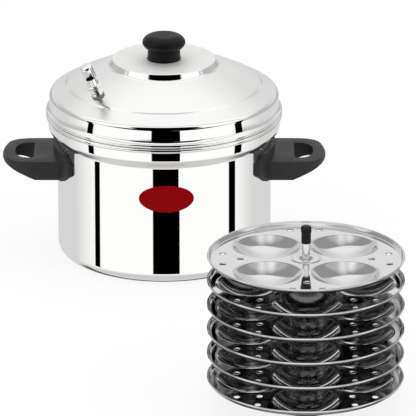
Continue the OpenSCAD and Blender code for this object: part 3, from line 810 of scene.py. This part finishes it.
# Each lamp's name, place and width in metres, and power in watts. All look at the middle of the item.
LAMPS = (
    ("key", (-1.2, -1.4, 1.9), 1.6, 9.0),
    ("fill", (1.6, -1.0, 1.6), 1.6, 6.0),
    ("top", (0.1, 0.2, 2.3), 1.8, 9.0),
)
LAMP_AIM = (0.05, -0.15, 0.1)


# What polished steel sees of the studio, as patches laid one over another. Each has a shape, two
# angles, the lower and upper limit of each and the width of its edge, all in degrees, and how
# bright it is. Azimuth is counted from the front, -Y, towards +X, and turn is its size. Height is
# over the horizon. Arch runs from the front horizon at 0 over the top to the back at 180, and side
# is how far a direction leans to +X from there.
ROOM_PATCHES = (
    ("box", "height", -200, -37.5, 7.5, "turn", -10, 400, 1, 0.59),
    ("box", "turn", 150, 400, 25, "height", -90, 50, 14, 0.87),
    ("box", "arch", 78, 90, 2, "side", -75, 75, 8, 0.63),
    ("box", "turn", 108, 166, 12, "height", 8, 42, 14, 0.63),
    ("box", "turn", 95, 400, 17, "height", -90, 10, 7, 0.67),
    ("box", "turn", 92, 132, 7, "height", 5, 26, 6, 0.48),
    ("box", "turn", 78, 165, 8, "height", -12, 7, 2, 0.48),
    ("box", "azimuth", -70, 75, 25, "height", 2.5, 9, 1.5, 0.0),
    ("box", "arch", -190, -112, 4, "height", -95, -42, 3, 0.12),
    ("oval", "arch", -7, 25, 2, "side", -58, 58, 2, 0.0),
    ("oval", "arch", 8, 62, 2, "side", -30, 34, 1, 0.0),
    ("box", "azimuth", -12, 17, 0.3, "height", -27, 26, 0.5, 0.0),
    ("box", "azimuth", -81, -74, 0.3, "height", -27, 8, 0.5, 0.0),
    ("box", "azimuth", 75, 84, 0.3, "height", -27, 8, 0.5, 0.0),
)
# How bright the studio is where no patch lies.
ROOM_LIGHT = 1.0
# The hood over the stand: grey cloth with a soft two-pane window over a pale apron. The cups' far
# walls show the cloth and the window, and the rims show the apron.
HOOD_PATCHES = (
    ("box", "arch", 61, 200, 2, "side", -44, 44, 2, 0.54),
    ("box", "arch", 97, 200, 6, "side", -90, 90, 1, 0.34),
    ("oval", "arch", 56, 93, 9, "side", -18, -1, 5, 1.0),
    ("oval", "arch", 62, 98, 9, "side", 1, 16, 6, 0.95),
)
# Where there is cloth: 1. Behind the stand the hood is open, with a round edge overhead.
HOOD_CUT = (
    ("oval", "arch", 106, 202, 0.6, "side", -31, 31, 0.3, 0.0),
    ("box", "arch", 154, 400, 1, "side", -90, 90, 1, 0.0),
    ("box", "arch", -400, -60, 1, "side", -90, 90, 1, 0.0),
)
HOOD_LIGHT = 0.95
# The hood is a globe about a point over the stand, cut off flat in front of the pot, in mm.
HOOD_Z = 144.0
HOOD_R = 600.0
HOOD_BACK_Y = -125.0


def sight_angles(tree, ray):
    """The angles of a direction that the patches are given in, in radians."""
    split = add_node(tree, "ShaderNodeSeparateXYZ", {0: ray}).outputs
    front = add_node(tree, "ShaderNodeMath", {0: split["Y"], 1: -1.0}, operation="MULTIPLY")
    azimuth = add_node(tree, "ShaderNodeMath", {0: split["X"], 1: front}, operation="ARCTAN2")
    return {
        "azimuth": azimuth,
        "turn": add_node(tree, "ShaderNodeMath", {0: azimuth}, operation="ABSOLUTE"),
        "height": add_node(tree, "ShaderNodeMath", {0: split["Z"]}, operation="ARCSINE"),
        "arch": add_node(tree, "ShaderNodeMath", {0: split["Z"], 1: front}, operation="ARCTAN2"),
        "side": add_node(tree, "ShaderNodeMath", {0: split["X"]}, operation="ARCSINE"),
    }


def box_mask(tree, angles, across, up):
    """1 between the limits of both angles and 0 outside, with soft edges."""
    mask = None
    for name, low, high, edge in (across, up):
        for limit, start in ((low, 0.0), (high, 1.0)):
            step = add_node(tree, "ShaderNodeMapRange", {
                0: angles[name], 1: math.radians(limit - edge), 2: math.radians(limit + edge),
                3: start, 4: 1.0 - start})
            mask = step if mask is None else add_node(
                tree, "ShaderNodeMath", {0: mask, 1: step}, operation="MULTIPLY")
    return mask


def oval_mask(tree, angles, across, up):
    """1 in the oval that fills the limits of both angles and 0 outside, with a soft edge."""
    shares, edge = [], 0.0
    for name, low, high, soft in (across, up):
        shares.append(add_node(tree, "ShaderNodeMapRange", {
            0: angles[name], 1: math.radians(low), 2: math.radians(high), 3: -1.0, 4: 1.0}, clamp=False))
        edge = max(edge, 2 * soft / (high - low))
    place = add_node(tree, "ShaderNodeCombineXYZ", {0: shares[0], 1: shares[1]})
    away = add_node(tree, "ShaderNodeVectorMath", {0: place}, operation="LENGTH").outputs["Value"]
    return add_node(tree, "ShaderNodeMapRange", {0: away, 1: 1.0 - edge, 2: 1.0 + edge, 3: 1.0, 4: 0.0})


def patched_light(tree, ray, patches, light):
    """How bright a direction is, with the patches laid over a plain light."""
    angles = sight_angles(tree, ray)
    for shape, *numbers, level in patches:
        make_mask = box_mask if shape == "box" else oval_mask
        mask = make_mask(tree, angles, numbers[:4], numbers[4:])
        light = add_node(tree, "ShaderNodeMix", {0: mask, 2: light, 3: level})
    return light


def studio_world():
    """White for the camera and a soft white light, with the dark cards that only gloss shows."""
    world = bpy.data.worlds.new("studio")
    bpy.context.scene.world = world
    world.use_nodes = True
    tree = world.node_tree
    tree.nodes.clear()
    white = (1, 1, 1, 1)
    ray = add_node(tree, "ShaderNodeTexCoord").outputs["Generated"]
    path = add_node(tree, "ShaderNodeLightPath").outputs
    room = patched_light(tree, ray, ROOM_PATCHES, ROOM_LIGHT)
    glossy = add_node(tree, "ShaderNodeBackground", {"Color": room})
    plain = add_node(tree, "ShaderNodeBackground", {"Color": white, "Strength": 1.0})
    soft = add_node(tree, "ShaderNodeBackground", {"Color": white, "Strength": 0.75})
    seen = add_node(tree, "ShaderNodeMixShader", {0: path["Is Camera Ray"], 1: soft, 2: plain})
    mixed = add_node(tree, "ShaderNodeMixShader", {0: path["Is Glossy Ray"], 1: seen, 2: glossy})
    add_node(tree, "ShaderNodeOutputWorld", {0: mixed})


def card_material(name, level):
    """A plain lit or black card that only reflections show."""
    material, tree = new_material(name)
    finish_surface(tree, add_node(tree, "ShaderNodeEmission", {"Color": (level, level, level, 1)}))
    return material


def foil_material():
    """Crumpled black foil: the pale streaks in it are what the plates between the rims show."""
    material, tree = new_material("crumpled_black_foil")
    fold_mm, dark_below, brightest = 38, 0.42, 0.7
    place = add_node(tree, "ShaderNodeTexCoord").outputs["Object"]
    folds = add_node(tree, "ShaderNodeMapping", {"Vector": place, "Scale": (1.0, 1.0, 0.6)})
    crumple = add_node(tree, "ShaderNodeTexNoise", {
        "Vector": folds, "Scale": 1 / (fold_mm * MM), "Detail": 3.0, "Distortion": 1.6}).outputs["Fac"]
    level = add_node(tree, "ShaderNodeMapRange", {
        0: crumple, 1: dark_below, 2: NOISE_HIGH, 3: 0.0, 4: brightest})
    finish_surface(tree, add_node(tree, "ShaderNodeEmission", {"Color": level}))
    return material


def hood_material():
    """The hood's cloth, lit from inside. It is clear from outside, so the pot sees none of it."""
    material, tree = new_material("grey_hood_cloth")
    place = add_node(tree, "ShaderNodeTexCoord").outputs["Object"]
    middle = [STAND_X * MM, STAND_Y * MM, HOOD_Z * MM]
    offset = add_node(tree, "ShaderNodeVectorMath", {0: place, 1: middle}, operation="SUBTRACT")
    ray = add_node(tree, "ShaderNodeVectorMath", {0: offset}, operation="NORMALIZE")
    # A ray that has come in through the hood, or that meets its outer side, passes.
    kept = patched_light(tree, ray, HOOD_CUT, 1.0)
    entered = add_node(tree, "ShaderNodeLightPath").outputs["Transparent Depth"]
    outside = add_node(tree, "ShaderNodeNewGeometry").outputs["Backfacing"]
    for passing in (entered, outside):
        kept = add_node(tree, "ShaderNodeMath", {0: kept, 1: passing}, operation="SUBTRACT", use_clamp=True)
    glow = patched_light(tree, ray, HOOD_PATCHES, HOOD_LIGHT)
    cloth = add_node(tree, "ShaderNodeEmission", {"Color": glow})
    clear = add_node(tree, "ShaderNodeBsdfTransparent")
    finish_surface(tree, add_node(tree, "ShaderNodeMixShader", {0: kept, 1: clear, 2: cloth}))
    return material


def hang_card(name, bm, materials):
    """A studio card: it lights nothing and no camera sees it, but reflections do."""
    card = mesh_object(name, bm)
    for material in materials:
        card.data.materials.append(material)
    for kind in ("camera", "diffuse", "transmission", "volume_scatter", "shadow"):
        setattr(card, "visible_" + kind, False)


def hang_hood():
    """A globe of cloth round the stand, cut off flat in front of the pot."""
    bm = bmesh.new()
    place = Matrix.Translation((STAND_X * MM, STAND_Y * MM, HOOD_Z * MM))
    bmesh.ops.create_uvsphere(bm, u_segments=64, v_segments=32, radius=HOOD_R * MM, matrix=place)
    everything = bm.verts[:] + bm.edges[:] + bm.faces[:]
    cut = bmesh.ops.bisect_plane(
        bm, geom=everything, plane_co=(0, HOOD_BACK_Y * MM, 0), plane_no=(0, 1, 0), clear_outer=True)
    rim = [part for part in cut["geom_cut"] if isinstance(part, bmesh.types.BMEdge)]
    bmesh.ops.contextual_create(bm, geom=rim)
    bmesh.ops.recalc_face_normals(bm, faces=bm.faces)
    bmesh.ops.reverse_faces(bm, faces=bm.faces)
    hang_card("hood", bm, (hood_material(),))


def hang_flag():
    """A black half round behind the stand, so that no light comes in between its plates. Its back
    goes on with the room's middle card, for the pot's wall to show."""
    low_z, high_z, inner_r, outer_r = 1.0, 141.0, 96.0, 97.0
    steps, start_deg, sweep_deg = 190, 85, 190
    # Strips of the inside that let light in, by step, and where the back turns from black to white.
    slits, card_x = ((124, 129), (56, 59)), 81.0
    foil, black, white = 0, 1, 2
    bm = bmesh.new()
    for r in (inner_r, outer_r):
        ring = []
        for k in range(steps + 1):
            a = math.radians(start_deg + sweep_deg * k / steps)
            x, y = STAND_X + r * math.sin(a), STAND_Y - r * math.cos(a)
            ring.append([bm.verts.new((x * MM, y * MM, z * MM)) for z in (low_z, high_z)])
        for k, (one, two) in enumerate(zip(ring, ring[1:])):
            face = bm.faces.new((one[0], two[0], two[1], one[1]))
            if r == outer_r:
                face.material_index = white if face.calc_center_median().x > card_x * MM else black
            else:
                face.material_index = white if any(low < k < high for low, high in slits) else foil
    cards = card_material("black_card", 0.0), card_material("white_card", ROOM_LIGHT)
    hang_card("flag", bm, (foil_material(), *cards))


def floor_material():
    """A white sweep: it reads as the page's white, and keeps the object's shadow."""
    material, tree = new_material("white_studio_sweep")
    mottle_mm, glow_share = 1000 / 3, 0.84
    place = add_node(tree, "ShaderNodeTexCoord").outputs["Object"]
    mottle = add_node(tree, "ShaderNodeTexNoise", {
        "Vector": place, "Scale": 1 / (mottle_mm * MM), "Detail": 2.0}).outputs["Fac"]
    base = bpy.context.scene.steamer_colours.floor
    matte = add_node(tree, "ShaderNodeBsdfDiffuse", {"Color": mottled(tree, mottle, base, 0.99, 1.0)})
    glow = add_node(tree, "ShaderNodeEmission", {"Color": (1, 1, 1, 1), "Strength": 1.0})
    camera_ray = add_node(tree, "ShaderNodeLightPath").outputs["Is Camera Ray"]
    share = add_node(tree, "ShaderNodeMath", {0: camera_ray, 1: glow_share}, operation="MULTIPLY")
    finish_surface(tree, add_node(tree, "ShaderNodeMixShader", {0: share, 1: matte, 2: glow}))
    return material


class STEAMER_OT_stage(bpy.types.Operator):
    """Set the camera, floor, lamps and studio world"""
    bl_idname = "steamer.stage"
    bl_label = "Stage"

    def execute(self, context):
        tilt = math.radians(CAMERA_TILT)
        camera = bpy.data.objects.new("camera", bpy.data.cameras.new("camera"))
        camera.data.sensor_width = SENSOR
        camera.data.lens = SENSOR * FOCAL_PIXELS / FRAME_PIXELS
        camera.data.clip_start = 0.5
        camera.data.clip_end = 40.0
        away = Vector((0, -math.cos(tilt), math.sin(tilt))) * CAMERA_AWAY
        camera.location = (Vector(CAMERA_AIM) + away) * MM
        camera.rotation_euler = (math.pi / 2 - tilt, 0, 0)
        bpy.context.collection.objects.link(camera)
        bpy.context.scene.camera = camera

        # The floor lies half a millimetre under the feet, so that no two faces share a plane.
        half, floor_z = 3.0, -0.0005
        bm = bmesh.new()
        corners = ((-half, -half), (half, -half), (half, half), (-half, half))
        bm.faces.new([bm.verts.new((x, y, floor_z)) for x, y in corners])
        floor = mesh_object("floor", bm)
        floor.data.materials.append(floor_material())
        floor.visible_glossy = False

        for name, place, width, power in LAMPS:
            lamp = bpy.data.lights.new(name, "AREA")
            lamp.shape = "DISK"
            lamp.size = width
            lamp.energy = power
            obj = bpy.data.objects.new(name, lamp)
            obj.location = place
            obj.rotation_euler = (Vector(LAMP_AIM) - Vector(place)).to_track_quat("-Z", "Y").to_euler()
            obj.visible_glossy = False
            bpy.context.collection.objects.link(obj)
        hang_hood()
        hang_flag()
        studio_world()
        bpy.context.scene.view_settings.view_transform = "Standard"
        return {"FINISHED"}


class STEAMER_PT_panel(bpy.types.Panel):
    """The steamer's pieces, sizes and colours"""
    bl_idname = "STEAMER_PT_panel"
    bl_label = "Idli steamer"
    bl_space_type = "VIEW_3D"
    bl_region_type = "UI"
    bl_category = "Steamer"

    def draw(self, context):
        for operator in OPERATORS:
            self.layout.operator(operator.bl_idname)
        for group in (context.scene.steamer_sizes, context.scene.steamer_colours):
            for key in group.__annotations__:
                self.layout.prop(group, key)


OPERATORS = (STEAMER_OT_pot, STEAMER_OT_lid, STEAMER_OT_whistle, STEAMER_OT_handles, STEAMER_OT_badge,
             STEAMER_OT_stand, STEAMER_OT_plates, STEAMER_OT_stage)
CLASSES = (SteamerSizes, SteamerColours) + OPERATORS + (STEAMER_PT_panel,)


def register():
    for cls in CLASSES:
        bpy.utils.register_class(cls)
    bpy.types.Scene.steamer_sizes = bpy.props.PointerProperty(type=SteamerSizes)
    bpy.types.Scene.steamer_colours = bpy.props.PointerProperty(type=SteamerColours)


def unregister():
    del bpy.types.Scene.steamer_colours
    del bpy.types.Scene.steamer_sizes
    for cls in reversed(CLASSES):
        bpy.utils.unregister_class(cls)


def main():
    register()
    make_materials()
    for operator in OPERATORS:
        group, name = operator.bl_idname.split(".")
        getattr(getattr(bpy.ops, group), name)()


if __name__ == "__main__":
    main()
